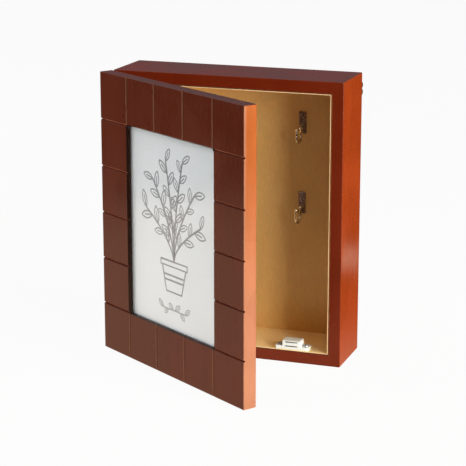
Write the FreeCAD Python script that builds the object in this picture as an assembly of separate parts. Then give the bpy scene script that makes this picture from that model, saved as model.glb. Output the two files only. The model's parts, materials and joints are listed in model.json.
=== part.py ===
import FreeCAD, Part
import math
import os

from FreeCAD import Placement, Rotation, Vector

# Wall cabinet for keys, with a picture window in its door and a magnetic catch.
# Millimetres. The origin is the centre of the cabinet's underside: +Z up, the front faces -Y.
# The door's pieces are built closed, then swung about the hinge pins to the rest angle.

# Door face: square tiles, with one ring of them round the window
tile_pitch = 41.0
tile_columns = 5
tile_rows = 6
ring_tiles = 1
groove_width = 2.4
groove_depth = 1.6

# Door, from front to back: lip, glass, card, backing, recess for the turn buttons
lip_thickness = 3.5
glass_thickness = 2.0
card_thickness = 0.4
backing_thickness = 3.0
button_recess = 3.6
door_round = 0.9
window_corner_radius = 3.0
recess_corner_radius = 4.0
card_lap_side = 3.5
card_lap_end = 8.0
card_clearance = 1.0
glass_clearance = 0.5
ledge_side = 12.0
ledge_end = 9.0
door_rest_angle = 34.0

# Cabinet boards, back panel and lining
cabinet_depth = 57.0
board_thickness = 10.0
board_round = 0.7
panel_thickness = 2.5
panel_lap = 3.0
lining_thickness = 1.3
lining_back_thickness = 0.8
lining_proud = 0.2

# Hinges
door_gap = 0.8
knuckle_radius = 2.0
knuckle_clearance = 0.15
knuckle_count = 3
hinge_length = 30.0
hinge_end_distance = 30.0
hinge_pin_radius = 0.95
hinge_pin_clearance = 0.05
hinge_pin_head_radius = 1.6
hinge_pin_head_height = 0.7
leaf_thickness = 1.0
leaf_edge_margin = 1.1
leaf_gap = 0.1
leaf_corner_radius = 1.0
hinge_screw_inset = 6.0

# Turn buttons
button_width = 7.0
button_reach = 12.0
button_tail = 4.0
button_thickness = 1.0
button_lift = 0.1
button_pitch = 100.0

# Key hooks
hook_columns = 3
hook_rows = 2
hook_pitch_x = 51.0
hook_pitch_z = 70.8
hook_top_drop = 46.2
hook_plate_width = 6.8
hook_plate_height = 19.4
hook_plate_thickness = 1.6
hook_plate_bevel = 1.0
hook_pin_pitch = 13.4
hook_wire_radius = 1.3
hook_wire_clearance = 0.05
hook_root_drop = 3.0
hook_stand = 3.2
hook_bend_radius = 1.8
hook_shank = 4.3
hook_throat_radius = 6.4
hook_tip_rise = 5.8
hook_tip_radius = 1.5
hook_collar_radius = 2.2
hook_collar_height = 0.7

# Magnetic catch and its strike plate
catch_inset = 32.3
catch_base_width = 29.6
catch_base_depth = 10.5
catch_base_height = 2.8
catch_base_corner = 1.6
catch_block_width = 17.1
catch_top_width = 16.3
catch_height = 7.9
catch_round = 0.8
catch_stack_height = 2.5
catch_front_wall = 1.4
pole_width = 10.6
pole_thickness = 0.8
pole_depth = 8.6
magnet_thickness = 2.8
magnet_depth = 6.8
magnet_inset = 0.7
catch_clearance = 0.1
ear_slot_length = 5.0
strike_width = 24.0
strike_height = 8.6
strike_thickness = 1.2
strike_corner_radius = 1.5
strike_gap = 0.2
strike_screw_pitch = 18.0

# Hanger plates on the back edges of the side boards
hanger_lobe_radius = 5.4
hanger_lobe_pitch = 5.9
hanger_top_drop = 11.0
hanger_thickness = 1.0
hanger_eye_drop = 18.0
hanger_eye_outer_radius = 4.5
hanger_eye_radius = 2.9
hanger_slot_radius = 1.5
hanger_slot_rise = 5.0
hanger_pocket_depth = 5.0
hanger_pocket_clearance = 0.3

# Fasteners
screw_clearance = 0.05
recess_width = 0.5
recess_depth = 0.5
recess_share = 0.6
hinge_screw = {"head_radius": 1.8, "head_height": 0.8, "shank_radius": 1.0, "length": 7.0}
strike_screw = {"head_radius": 2.0, "head_height": 1.0, "shank_radius": 1.0, "length": 7.0}
button_screw = {"head_radius": 2.4, "head_height": 1.4, "shank_radius": 1.2, "length": 6.0}
catch_screw = {"head_radius": 2.2, "head_height": 1.3, "shank_radius": 1.1, "length": 9.0}
hanger_screw = {"head_radius": 2.4, "head_height": 1.0, "shank_radius": 1.2, "length": 11.0}
hook_pin = {"head_radius": 1.2, "head_height": 0.8, "shank_radius": 0.6, "length": 4.2}

# How far a cutting shape runs past the face that it cuts
past = 1.0

# Planes and overall sizes that follow from the sizes above
half_width = tile_columns * tile_pitch / 2
height = tile_rows * tile_pitch
front = -cabinet_depth / 2
back = cabinet_depth / 2
panel_front = back - panel_thickness
lining_back_front = panel_front - lining_back_thickness
inner_half_width = half_width - board_thickness
floor_top = board_thickness + lining_thickness

door_thickness = lip_thickness + glass_thickness + card_thickness + backing_thickness + button_recess
door_back = front - door_gap
door_front = door_back - door_thickness
glass_front = door_front + lip_thickness
card_front = glass_front + glass_thickness
backing_front = card_front + card_thickness
ledge_plane = backing_front + backing_thickness
window_half_width = half_width - ring_tiles * tile_pitch
window_low = ring_tiles * tile_pitch
window_high = height - window_low
card_half_width = window_half_width + card_lap_side
card_low = window_low - card_lap_end
card_high = window_high + card_lap_end
rebate_half_width = card_half_width + card_clearance
rebate_low = card_low - card_clearance
rebate_high = card_high + card_clearance

pin_x = -half_width - knuckle_radius - knuckle_clearance
pin_y = front - door_gap / 2
leaf_width = board_thickness - leaf_edge_margin
hinge_bottoms = [hinge_end_distance, height - hinge_end_distance - hinge_length]

hook_plate_face = lining_back_front - hook_plate_thickness

catch_x = inner_half_width - lining_thickness - catch_inset
catch_front = door_back + strike_thickness + strike_gap
ear_top = floor_top + catch_base_height
stack_low = floor_top + catch_stack_height
stack_high = stack_low + 2 * pole_thickness + magnet_thickness
strike_z = (stack_low + stack_high) / 2
strike_face = door_back + strike_thickness

side_middle = half_width - board_thickness / 2
hanger_face = back + hanger_thickness
lobe_heights = [height - hanger_top_drop, height - hanger_top_drop - hanger_lobe_pitch]
eye_z = lobe_heights[0] - hanger_eye_drop

button_bottom = ledge_plane + button_lift
button_top = button_bottom + button_thickness

along_x = Vector(1, 0, 0)
along_y = Vector(0, 1, 0)
along_z = Vector(0, 0, 1)


# Shapes that several pieces use


def block(x, y, z):
    """A box between the low and high values of each pair."""
    return Part.makeBox(x[1] - x[0], y[1] - y[0], z[1] - z[0], Vector(x[0], y[0], z[0]))


def rod(x, y, z, direction, radius, length):
    return Part.makeCylinder(radius, length, Vector(x, y, z), direction)


def prism(points, direction):
    """The solid that a flat polygon sweeps along a direction."""
    return Part.Face(Part.makePolygon(points + points[:1])).extrude(direction)


def edges_along(solid, axis):
    return [e for e in solid.Edges if abs(e.tangentAt(e.FirstParameter).dot(axis)) > 0.99]


def rounded_block(x, y, z, radius, axis):
    """A box whose four edges along one axis are rounded."""
    solid = block(x, y, z)
    return solid.makeFillet(radius, edges_along(solid, axis))


def handed(shape, sign):
    """A piece drawn on the right side, or its mirror image on the left."""
    if sign > 0:
        return shape
    return shape.mirror(Vector(0, 0, 0), along_x)


def swung(shape):
    """A piece of the door, turned about the hinge pins from closed to the rest angle."""
    turned = shape.copy()
    turned.rotate(Vector(pin_x, pin_y, 0), along_z, -door_rest_angle)
    return turned


def swung_all(shapes):
    return [swung(shape) for shape in shapes]


# Screws and pins


def pan_screw(size):
    """A domed screw: its head sits on z = 0, and its shank runs down."""
    radius = size["head_radius"]
    top = size["head_height"]
    rim = Vector(radius, 0, top * 0.35)
    shoulder = Vector(radius * 0.75, 0, top * 0.85)
    crown = Vector(0, 0, top)
    outline = [
        Part.LineSegment(Vector(0, 0, 0), Vector(radius, 0, 0)).toShape(),
        Part.LineSegment(Vector(radius, 0, 0), rim).toShape(),
        Part.Arc(rim, shoulder, crown).toShape(),
        Part.LineSegment(crown, Vector(0, 0, 0)).toShape(),
    ]
    head = Part.Face(Part.Wire(outline)).revolve(Vector(0, 0, 0), along_z, 360)
    return with_shank(cross_recess(head, top, radius), size, 0)


def flat_screw(size):
    """A countersunk screw: its top is on z = 0, and its head and shank run down."""
    radius = size["head_radius"]
    deep = size["head_height"]
    head = Part.makeCone(size["shank_radius"], radius, deep, Vector(0, 0, -deep))
    return with_shank(cross_recess(head, 0, radius), size, deep)


def cross_recess(head, top, radius):
    """Cuts the cross that the driver turns."""
    reach = radius * recess_share
    half = recess_width / 2
    depth = (top - recess_depth, top + past)
    one = block((-reach, reach), (-half, half), depth)
    other = block((-half, half), (-reach, reach), depth)
    return head.cut([one, other])


def with_shank(head, size, start):
    """Adds the shank and its point below the head."""
    radius = size["shank_radius"]
    point_length = radius * 2
    straight = size["length"] - point_length - start
    shank = rod(0, 0, -start - straight, along_z, radius, straight)
    point = Part.makeCone(0, radius, point_length, Vector(0, 0, -size["length"]))
    return head.fuse([shank, point]).removeSplitter()


def driven(screw, seats, direction):
    """Copies of a screw with their heads at the seats, driven in one direction."""
    turn = Rotation(along_z, direction * -1)
    copies = []
    for seat in seats:
        copy = screw.copy()
        copy.Placement = Placement(seat, turn)
        copies.append(copy)
    return copies


def drilled(size, seats, direction):
    """The holes for the shanks of screws, from their seats the way they are driven."""
    radius = size["shank_radius"] + screw_clearance
    depth = size["length"] + screw_clearance
    return [Part.makeCylinder(radius, depth, seat, direction) for seat in seats]


def sunk(size, seats, direction):
    """The cones that take countersunk heads."""
    wide = size["head_radius"] + screw_clearance
    narrow = size["shank_radius"] + screw_clearance
    return [Part.makeCone(wide, narrow, size["head_height"], seat, direction) for seat in seats]


# Cabinet


def panel_space(end):
    """The space of the back panel, as far back as a plane."""
    reach = inner_half_width + panel_lap
    low = board_thickness - panel_lap
    return block((-reach, reach), (panel_front, end), (low, height - low))


def carcass():
    """The four boards as one ring, with the rebate for the back panel."""
    outer = block((-half_width, half_width), (front, back), (0, height))
    outer = outer.makeFillet(board_round, outer.Edges)
    inside = block(
        (-inner_half_width, inner_half_width),
        (front - past, back + past),
        (board_thickness, height - board_thickness),
    )
    return outer.cut([inside, panel_space(back + past)])


def mitred(side):
    """One board of the ring, cut out by a wedge whose ends are at 45 degrees."""
    deep = 2 * board_thickness
    left = (-half_width - past, -half_width + deep)
    right = (half_width + past, half_width - deep)
    bottom = (-past, deep)
    top = (height + past, height - deep)
    outer_to_inner = {
        "left": (left, left, bottom, top),
        "right": (right, right, bottom, top),
        "bottom": (left, right, bottom, bottom),
        "top": (left, right, top, top),
    }
    x1, x2, z1, z2 = outer_to_inner[side]
    corners = [(x1[0], z1[0]), (x2[0], z2[0]), (x2[1], z2[1]), (x1[1], z1[1])]
    wedge = prism([Vector(x, front - past, z) for x, z in corners], along_y * (cabinet_depth + 2 * past))
    return carcass().common(wedge)


def side_board(sign):
    board = mitred("left" if sign < 0 else "right")
    cuts = [handed(hanger_pocket(), sign)]
    cuts += drilled(hanger_screw, hanger_seats(), -along_y)
    if sign < 0:
        cuts += leaf_mortises(front, leaf_face(1) + leaf_thickness)
        cuts += drilled(hinge_screw, hinge_seats(1), along_y)
    return board.cut(cuts)


def bottom_board():
    return mitred("bottom").cut(drilled(catch_screw, catch_seats(), -along_z))


def back_panel():
    return panel_space(back).cut(drilled(hook_pin, hook_pin_seats(), along_y))


def lining_back():
    sheet = block(
        (-inner_half_width, inner_half_width),
        (lining_back_front, panel_front),
        (board_thickness, height - board_thickness),
    )
    return sheet.cut(drilled(hook_pin, hook_pin_seats(), along_y))


def lining_flat(low):
    """The lining sheet on the floor or under the top, from its lower face up."""
    return block(
        (-inner_half_width, inner_half_width),
        (front - lining_proud, lining_back_front),
        (low, low + lining_thickness),
    )


def lining_bottom():
    return lining_flat(board_thickness).cut(drilled(catch_screw, catch_seats(), -along_z))


def lining_side(sign):
    sheet = block(
        (inner_half_width - lining_thickness, inner_half_width),
        (front - lining_proud, lining_back_front),
        (floor_top, height - floor_top),
    )
    return handed(sheet, sign)


# Key hooks


def hook_spots():
    """The centres of the hook plates, row by row from the top left."""
    spots = []
    for row in range(hook_rows):
        for column in range(hook_columns):
            x = (column - (hook_columns - 1) / 2) * hook_pitch_x
            spots.append((x, height - hook_top_drop - row * hook_pitch_z))
    return spots


def hook_pin_seats():
    half = hook_pin_pitch / 2
    return [Vector(x, hook_plate_face, z + s * half) for x, z in hook_spots() for s in (1, -1)]


def hook_plate(x, z):
    """A small plate with bevelled edges, bored for its two pins and for the wire."""
    half_plate = hook_plate_height / 2
    plate = block(
        (x - hook_plate_width / 2, x + hook_plate_width / 2),
        (hook_plate_face, lining_back_front),
        (z - half_plate, z + half_plate),
    )
    rim = [e for e in plate.Edges if e.BoundBox.YMax < hook_plate_face + hook_plate_bevel]
    plate = plate.makeChamfer(hook_plate_bevel, rim)
    middle = Vector(x, hook_plate_face, z)
    seats = [seat for seat in hook_pin_seats() if (seat - middle).Length < half_plate]
    bore = hook_wire_radius + hook_wire_clearance
    deep = hook_plate_thickness + 2 * past
    root = rod(x, hook_plate_face - past, z - hook_root_drop, along_y, bore, deep)
    return plate.cut(drilled(hook_pin, seats, along_y) + [root])


def key_hook(x, z):
    """A round wire that leaves the plate, turns down and comes up again in a half circle."""
    root = z - hook_root_drop
    near = hook_plate_face - hook_stand
    far = near - 2 * hook_throat_radius
    turn = root - hook_bend_radius - hook_shank
    corner = hook_bend_radius * (1 - math.sqrt(0.5))
    start = Vector(x, lining_back_front, root)
    bend_in = Vector(x, near + hook_bend_radius, root)
    bend_middle = Vector(x, near + corner, root - corner)
    bend_out = Vector(x, near, root - hook_bend_radius)
    throat_in = Vector(x, near, turn)
    throat_bottom = Vector(x, (near + far) / 2, turn - hook_throat_radius)
    throat_out = Vector(x, far, turn)
    tip = Vector(x, far, turn + hook_tip_rise)
    path = Part.Wire([
        Part.LineSegment(start, bend_in).toShape(),
        Part.Arc(bend_in, bend_middle, bend_out).toShape(),
        Part.LineSegment(bend_out, throat_in).toShape(),
        Part.Arc(throat_in, throat_bottom, throat_out).toShape(),
        Part.LineSegment(throat_out, tip).toShape(),
    ])
    ring = Part.Wire(Part.makeCircle(hook_wire_radius, start, along_y))
    wire = path.makePipeShell([ring], True, False)
    collar = rod(x, hook_plate_face, root, -along_y, hook_collar_radius, hook_collar_height)
    ball = Part.makeSphere(hook_tip_radius, tip)
    return wire.fuse([collar, ball]).removeSplitter()


# Magnetic catch


def catch_seats():
    reach = (catch_base_width + catch_block_width) / 4
    y = catch_front + catch_base_depth / 2
    return [Vector(catch_x + s * reach, y, ear_top) for s in (-1, 1)]


def pole_bottoms():
    return [stack_low, stack_high - pole_thickness]


def catch_pocket():
    """Room for the poles and the magnet, open behind, with a slot in front for each pole."""
    reach = pole_width / 2 + catch_clearance
    x = (catch_x - reach, catch_x + reach)
    wall = catch_front + catch_front_wall
    behind = (wall, catch_front + catch_base_depth + past)
    room = block(x, behind, (stack_low - catch_clearance, stack_high + catch_clearance))
    slots = []
    for bottom in pole_bottoms():
        z = (bottom - catch_clearance, bottom + pole_thickness + catch_clearance)
        slots.append(block(x, (catch_front - past, wall), z))
    return [room] + slots


def ear_slot(seat):
    """A slot through an ear, so that the catch can be set further in or out."""
    radius = catch_screw["shank_radius"] + screw_clearance
    half = ear_slot_length / 2 - radius
    z = (floor_top - past, ear_top + past)
    middle = block((seat.x - radius, seat.x + radius), (seat.y - half, seat.y + half), z)
    ends = [rod(seat.x, seat.y + s * half, z[0], along_z, radius, z[1] - z[0]) for s in (-1, 1)]
    return [middle] + ends


def catch_housing():
    """A base with two slotted ears, and a block that tapers upwards."""
    half_base = catch_base_width / 2
    rear = catch_front + catch_base_depth
    base = rounded_block(
        (catch_x - half_base, catch_x + half_base),
        (catch_front, rear),
        (floor_top, ear_top),
        catch_base_corner,
        along_z,
    )
    low = floor_top + catch_base_height / 2
    top = floor_top + catch_height
    half_low = catch_block_width / 2
    half_top = catch_top_width / 2
    outline = [(-half_low, low), (half_low, low), (half_top, top), (-half_top, top)]
    body = prism([Vector(catch_x + x, catch_front, z) for x, z in outline], Vector(0, catch_base_depth, 0))
    body = body.makeFillet(catch_round, [e for e in body.Edges if e.CenterOfMass.z > ear_top])
    cuts = catch_pocket()
    for seat in catch_seats():
        cuts += ear_slot(seat)
    return base.fuse(body).cut(cuts).removeSplitter()


def catch_pole(bottom):
    half = pole_width / 2
    return block(
        (catch_x - half, catch_x + half),
        (catch_front, catch_front + pole_depth),
        (bottom, bottom + pole_thickness),
    )


def catch_magnet():
    half = pole_width / 2 - magnet_inset
    start = catch_front + catch_front_wall + catch_clearance
    return block(
        (catch_x - half, catch_x + half),
        (start, start + magnet_depth),
        (stack_low + pole_thickness, stack_high - pole_thickness),
    )


# Hangers on the back, drawn for the right side


def hanger_seats():
    return [Vector(s * side_middle, hanger_face, z) for s in (-1, 1) for z in lobe_heights]


def keyhole(start, depth, head_radius, slot_radius):
    """A round hole for a screw's head, with a narrow slot above it for the screw's neck."""
    top = eye_z + hanger_slot_rise
    hole = rod(side_middle, start, eye_z, along_y, head_radius, depth)
    x = (side_middle - slot_radius, side_middle + slot_radius)
    slot = block(x, (start, start + depth), (eye_z, top))
    end = rod(side_middle, start, top, along_y, slot_radius, depth)
    return hole.fuse([slot, end])


def hanger_plate():
    """Two lobes for screws, and a narrower one with the keyhole."""
    lobes = [rod(side_middle, back, z, along_y, hanger_lobe_radius, hanger_thickness) for z in lobe_heights]
    eye = rod(side_middle, back, eye_z, along_y, hanger_eye_outer_radius, hanger_thickness)
    neck = block(
        (side_middle - hanger_eye_outer_radius, side_middle + hanger_eye_outer_radius),
        (back, hanger_face),
        (eye_z, lobe_heights[1]),
    )
    plate = lobes[0].fuse([lobes[1], eye, neck]).removeSplitter()
    opening = keyhole(back - past, hanger_thickness + 2 * past, hanger_eye_radius, hanger_slot_radius)
    return plate.cut([opening] + drilled(hanger_screw, hanger_seats(), -along_y))


def hanger_pocket():
    """Room in the board for the head of the wall's screw, all the way up the slot."""
    radius = hanger_eye_radius + hanger_pocket_clearance
    return keyhole(back - hanger_pocket_depth, hanger_pocket_depth + past, radius, radius)


# Hinges. Side 1 is the cabinet's leaf and -1 the door's.


def leaf_face(side):
    """The plane in which a closed leaf faces the other leaf."""
    return pin_y + side * leaf_gap / 2


def leaf_mortises(start, end):
    """The shallow cuts that take the leaves, open to the side of the cabinet."""
    y = sorted([start, end])
    x = (-half_width - past, -half_width + leaf_width)
    return [block(x, y, (bottom, bottom + hinge_length)) for bottom in hinge_bottoms]


def hinge_seats(side):
    x = -half_width + board_thickness / 2
    y = leaf_face(side)
    insets = (hinge_screw_inset, hinge_length - hinge_screw_inset)
    return [Vector(x, y, bottom + inset) for bottom in hinge_bottoms for inset in insets]


def knuckles(bottom, side):
    """Every other knuckle: the cabinet's leaf has the first and last, the door's those between."""
    pitch = hinge_length / knuckle_count
    y = sorted([leaf_face(side), leaf_face(side) + side * leaf_thickness])
    rolls = []
    for i in range(0 if side == 1 else 1, knuckle_count, 2):
        low = bottom + i * pitch
        high = low + pitch
        if i > 0:
            low += knuckle_clearance / 2
        if i < knuckle_count - 1:
            high -= knuckle_clearance / 2
        rolls.append(rod(pin_x, pin_y, low, along_z, knuckle_radius, high - low))
        rolls.append(block((pin_x, -half_width + leaf_corner_radius), y, (low, high)))
    return rolls


def hinge_leaf(bottom, side):
    y = sorted([leaf_face(side), leaf_face(side) + side * leaf_thickness])
    plate = block((-half_width, -half_width + leaf_width), y, (bottom, bottom + hinge_length))
    corners = [e for e in edges_along(plate, along_y) if e.CenterOfMass.x > -half_width + past]
    plate = plate.makeFillet(leaf_corner_radius, corners)
    leaf = plate.fuse(knuckles(bottom, side)).removeSplitter()
    bore = hinge_pin_radius + hinge_pin_clearance
    cuts = [rod(pin_x, pin_y, bottom - past, along_z, bore, hinge_length + 2 * past)]
    cuts += drilled(hinge_screw, hinge_seats(side), along_y * side)
    cuts += sunk(hinge_screw, hinge_seats(side), along_y * side)
    return leaf.cut(cuts)


def hinge_pin(bottom):
    top = bottom + hinge_length
    head = hinge_pin_head_height
    shaft = rod(pin_x, pin_y, bottom, along_z, hinge_pin_radius, hinge_length)
    below = Vector(pin_x, pin_y, bottom - head)
    under = Part.makeCone(hinge_pin_radius, hinge_pin_head_radius, head, below)
    over = Part.makeCone(hinge_pin_head_radius, hinge_pin_radius, head, Vector(pin_x, pin_y, top))
    return shaft.fuse([under, over]).removeSplitter()


# Door


def grooves():
    """The V grooves of the tile grid, each a little longer than the door."""
    half = groove_width / 2
    bottom = door_front + groove_depth
    cuts = []
    for column in range(1, tile_columns):
        x = -half_width + column * tile_pitch
        profile = [(x - half, door_front), (x + half, door_front), (x, bottom)]
        corners = [Vector(across, deep, -past) for across, deep in profile]
        cuts.append(prism(corners, along_z * (height + 2 * past)))
    for row in range(1, tile_rows):
        z = row * tile_pitch
        profile = [(z - half, door_front), (z + half, door_front), (z, bottom)]
        corners = [Vector(-half_width - past, deep, up) for up, deep in profile]
        cuts.append(prism(corners, along_x * (2 * (half_width + past))))
    return cuts


def window_cuts():
    """The window, the rebate for glass, card and backing, and the recess for the buttons."""
    window = rounded_block(
        (-window_half_width, window_half_width),
        (door_front - past, door_back),
        (window_low, window_high),
        window_corner_radius,
        along_y,
    )
    x = (-rebate_half_width, rebate_half_width)
    rebate = block(x, (glass_front, door_back), (rebate_low, rebate_high))
    reach = rebate_half_width + ledge_side
    recess = rounded_block(
        (-reach, reach),
        (ledge_plane, door_back + past),
        (rebate_low - ledge_end, rebate_high + ledge_end),
        recess_corner_radius,
        along_y,
    )
    return [window, rebate, recess]


def door_frame():
    slab = block((-half_width, half_width), (door_front, door_back), (0, height))
    slab = slab.makeFillet(door_round, slab.Edges)
    cuts = window_cuts() + grooves()
    cuts += leaf_mortises(door_back, leaf_face(-1) - leaf_thickness)
    cuts += drilled(hinge_screw, hinge_seats(-1), -along_y)
    cuts += drilled(strike_screw, strike_seats(), -along_y)
    cuts += drilled(button_screw, button_seats(), -along_y)
    return slab.cut(cuts)


def pane(start, end):
    """A sheet that fills the rebate but for its clearance, as the glass and the backing do."""
    reach = rebate_half_width - glass_clearance
    z = (rebate_low + glass_clearance, rebate_high - glass_clearance)
    return block((-reach, reach), (start, end), z)


def picture_card():
    return block((-card_half_width, card_half_width), (card_front, backing_front), (card_low, card_high))


def strike_seats():
    half = strike_screw_pitch / 2
    return [Vector(catch_x + s * half, strike_face, strike_z) for s in (-1, 1)]


def strike_plate():
    plate = rounded_block(
        (catch_x - strike_width / 2, catch_x + strike_width / 2),
        (door_back, strike_face),
        (strike_z - strike_height / 2, strike_z + strike_height / 2),
        strike_corner_radius,
        along_y,
    )
    seats = strike_seats()
    return plate.cut(drilled(strike_screw, seats, -along_y) + sunk(strike_screw, seats, -along_y))


# Turn buttons that hold the backing board


def button_seats():
    x = rebate_half_width + ledge_side / 2
    middle = (rebate_low + rebate_high) / 2
    half = button_pitch / 2
    y = button_top + button_lift
    return [Vector(s * x, y, middle + t * half) for t in (1, -1) for s in (-1, 1)]


def turn_button(seat):
    """A flat strip with round ends. Its long end reaches over the backing board."""
    inward = -1 if seat.x > 0 else 1
    radius = button_width / 2
    tip = seat.x + inward * (button_reach - radius)
    tail = seat.x - inward * (button_tail - radius)
    y = (button_bottom, button_top)
    bar = block(sorted([tip, tail]), y, (seat.z - radius, seat.z + radius))
    ends = [rod(x, button_bottom, seat.z, along_y, radius, button_thickness) for x in (tip, tail)]
    return bar.fuse(ends).removeSplitter().cut(drilled(button_screw, [seat], -along_y))


# Files


def save(name, shape):
    shape.exportStep("parts/" + name + ".step")


def save_group(name, shapes):
    save(name, Part.makeCompound(shapes))


def save_carcass():
    save("side_left", side_board(-1))
    save("side_right", side_board(1))
    save("top_board", mitred("top"))
    save("bottom_board", bottom_board())
    save("back_panel", back_panel())
    save("lining_back", lining_back())
    save("lining_bottom", lining_bottom())
    save("lining_top", lining_flat(height - floor_top))
    save("lining_left", lining_side(-1))
    save("lining_right", lining_side(1))
    save("hanger_plate_left", handed(hanger_plate(), -1))
    save("hanger_plate_right", hanger_plate())
    save_group("hanger_screws", driven(pan_screw(hanger_screw), hanger_seats(), -along_y))


def save_hooks():
    for number, (x, z) in enumerate(hook_spots(), 1):
        save("hook_plate_" + str(number), hook_plate(x, z))
        save("key_hook_" + str(number), key_hook(x, z))
    save_group("hook_pins", driven(pan_screw(hook_pin), hook_pin_seats(), along_y))


def save_catch():
    save("catch_housing", catch_housing())
    save("catch_magnet", catch_magnet())
    for place, bottom in zip(("lower", "upper"), pole_bottoms()):
        save("catch_pole_" + place, catch_pole(bottom))
    save_group("catch_screws", driven(pan_screw(catch_screw), catch_seats(), -along_z))


def save_hinges():
    for place, bottom in zip(("lower", "upper"), hinge_bottoms):
        save("cabinet_leaf_" + place, hinge_leaf(bottom, 1))
        save("hinge_pin_" + place, hinge_pin(bottom))
        save("door_leaf_" + place, swung(hinge_leaf(bottom, -1)))
    screw = flat_screw(hinge_screw)
    save_group("cabinet_hinge_screws", driven(screw, hinge_seats(1), along_y))
    save_group("door_hinge_screws", swung_all(driven(screw, hinge_seats(-1), -along_y)))


def save_door():
    save("door_frame", swung(door_frame()))
    save("glass_pane", swung(pane(glass_front, card_front)))
    save("picture_card", swung(picture_card()))
    save("backing_board", swung(pane(backing_front, ledge_plane)))
    save("strike_plate", swung(strike_plate()))
    save_group("strike_screws", swung_all(driven(flat_screw(strike_screw), strike_seats(), -along_y)))
    for number, seat in enumerate(button_seats(), 1):
        save("turn_button_" + str(number), swung(turn_button(seat)))
    save_group("turn_button_screws", swung_all(driven(pan_screw(button_screw), button_seats(), -along_y)))


os.makedirs("parts", exist_ok=True)
save_carcass()
save_hooks()
save_catch()
save_hinges()
save_door()
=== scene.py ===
import json
import math

import bmesh
import bpy
from mathutils import Matrix, Vector

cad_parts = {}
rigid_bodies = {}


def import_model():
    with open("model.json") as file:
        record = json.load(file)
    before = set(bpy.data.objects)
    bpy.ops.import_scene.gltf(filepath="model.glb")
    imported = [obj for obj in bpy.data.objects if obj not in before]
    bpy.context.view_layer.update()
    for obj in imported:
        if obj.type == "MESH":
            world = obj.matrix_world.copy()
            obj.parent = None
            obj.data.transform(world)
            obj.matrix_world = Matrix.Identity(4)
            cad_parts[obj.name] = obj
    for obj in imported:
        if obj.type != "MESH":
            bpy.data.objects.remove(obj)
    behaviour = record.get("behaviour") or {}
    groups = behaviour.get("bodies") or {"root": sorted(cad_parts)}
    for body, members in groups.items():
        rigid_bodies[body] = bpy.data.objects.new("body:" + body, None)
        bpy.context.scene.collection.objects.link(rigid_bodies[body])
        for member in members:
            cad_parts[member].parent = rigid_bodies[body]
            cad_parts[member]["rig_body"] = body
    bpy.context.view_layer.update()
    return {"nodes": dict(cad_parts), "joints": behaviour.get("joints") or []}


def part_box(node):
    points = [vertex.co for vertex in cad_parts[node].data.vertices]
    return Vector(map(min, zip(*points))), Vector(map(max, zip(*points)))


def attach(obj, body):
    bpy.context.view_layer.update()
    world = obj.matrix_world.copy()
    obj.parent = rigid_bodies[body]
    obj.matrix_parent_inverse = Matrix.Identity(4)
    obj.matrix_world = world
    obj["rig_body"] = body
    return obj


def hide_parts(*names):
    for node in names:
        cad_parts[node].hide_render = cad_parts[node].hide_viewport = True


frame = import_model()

nodes = frame["nodes"]
scene = bpy.context.scene
print("frame loaded:", len(nodes), "nodes")

millimetre = 0.001
doorTurn = math.radians(34)           # how far open the door stands at rest


# Camera and view

camera = {
    "place": (0.4845, -1.3834, 0.4801),
    "turn": math.radians(19.45),      # to the left of straight ahead
    "tilt": math.radians(-14.42),
    "lens": 133.86,
    "sensor": 36,
    "clip": (0.05, 50),
}


def addCamera():
    lens = bpy.data.cameras.new("photoCamera")
    lens.lens = camera["lens"]
    lens.sensor_width = camera["sensor"]
    lens.clip_start, lens.clip_end = camera["clip"]
    holder = bpy.data.objects.new("photoCamera", lens)
    holder.location = camera["place"]
    holder.rotation_euler = (math.pi / 2 + camera["tilt"], 0, camera["turn"])
    scene.collection.objects.link(holder)
    scene.camera = holder


addCamera()
scene.view_settings.view_transform = "Standard"
print("camera set")


# Trees of nodes, written as sums

class Wire:                           # one output of a node, which can be used in sums
    def __init__(self, home, socket):
        self.home = home              # the tree that the node is in
        self.socket = socket

    def beside(self, name):           # another output of the same node
        return Wire(self.home, self.socket.node.outputs[name])

    def maths(self, operation, other=0.0, swap=False):
        first, second = (other, self) if swap else (self, other)
        return self.home.node("ShaderNodeMath", {"operation": operation}, {0: first, 1: second})

    def __add__(self, other):
        return self.maths("ADD", other)

    __radd__ = __add__

    def __sub__(self, other):
        return self.maths("SUBTRACT", other)

    def __rsub__(self, other):
        return self.maths("SUBTRACT", other, True)

    def __mul__(self, other):
        return self.maths("MULTIPLY", other)

    __rmul__ = __mul__

    def __truediv__(self, other):
        return self.maths("DIVIDE", other)

    def __pow__(self, other):
        return self.maths("POWER", other)

    def __abs__(self):
        return self.maths("ABSOLUTE")

    def atLeast(self, low):
        return self.maths("MAXIMUM", low)

    def atMost(self, high):
        return self.maths("MINIMUM", high)

    def ramp(self, low, high, toLow=0.0, toHigh=1.0):
        values = {0: self, 1: low, 2: high, 3: toLow, 4: toHigh}
        settings = {"interpolation_type": "SMOOTHSTEP", "clamp": True}
        return self.home.node("ShaderNodeMapRange", settings, values)


class Tree:                           # nodes of any kind of tree
    def node(self, kind, settings=None, values=None, output=0):
        made = self.tree.nodes.new(kind)
        for key, value in (settings or {}).items():
            setattr(made, key, value)
        for key, value in (values or {}).items():
            for one in value if isinstance(value, list) else [value]:
                if isinstance(one, Wire):
                    self.tree.links.new(one.socket, made.inputs[key])
                else:
                    made.inputs[key].default_value = one
        return Wire(self, made.outputs[output]) if made.outputs else None


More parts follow.
